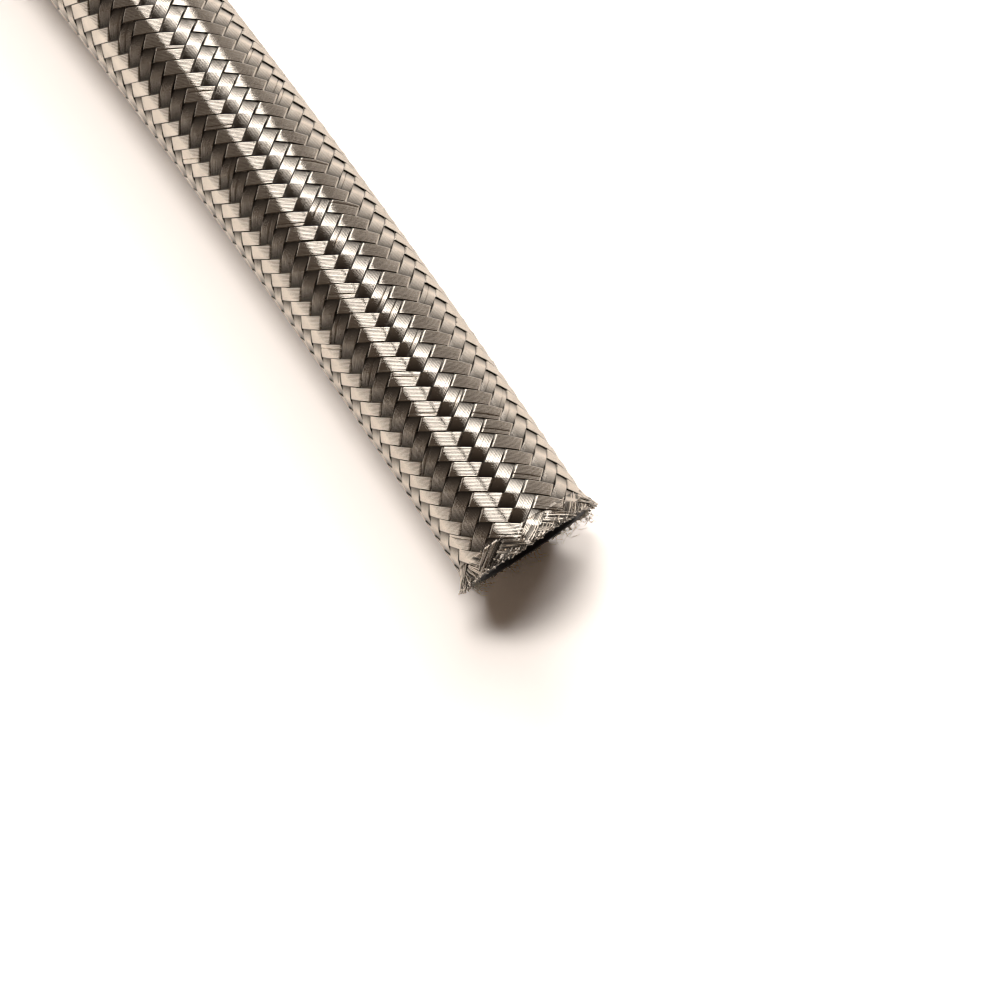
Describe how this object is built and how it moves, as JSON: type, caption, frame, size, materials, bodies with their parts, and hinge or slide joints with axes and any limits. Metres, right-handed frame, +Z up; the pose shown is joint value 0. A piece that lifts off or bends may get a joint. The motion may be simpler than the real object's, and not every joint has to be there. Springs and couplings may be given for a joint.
{
  "type": "stainless braided hose",
  "caption": "Cut length of rubber hose with a herringbone wire braid outside, frayed at one cut end, for fuel, oil or coolant.",
  "frame": {"origin": "on the surface that the hose lies on, under the centre of its bounding box", "axes": "+X along the hose, towards its frayed cut end; +Z up; the gentle bend lies flat, with its middle towards +Y"},
  "size_m": [0.3023, 0.0381, 0.0317],
  "materials": {
    "wire_braid": "bright drawn stainless wire",
    "yarn_ply": "plaited pale yarn",
    "inner_tube": "smooth black rubber"
  },
  "bodies": {
    "root": {"wire_braid": "wire_braid", "yarn_ply": "yarn_ply", "inner_tube": "inner_tube"}
  },
  "joints": []
}
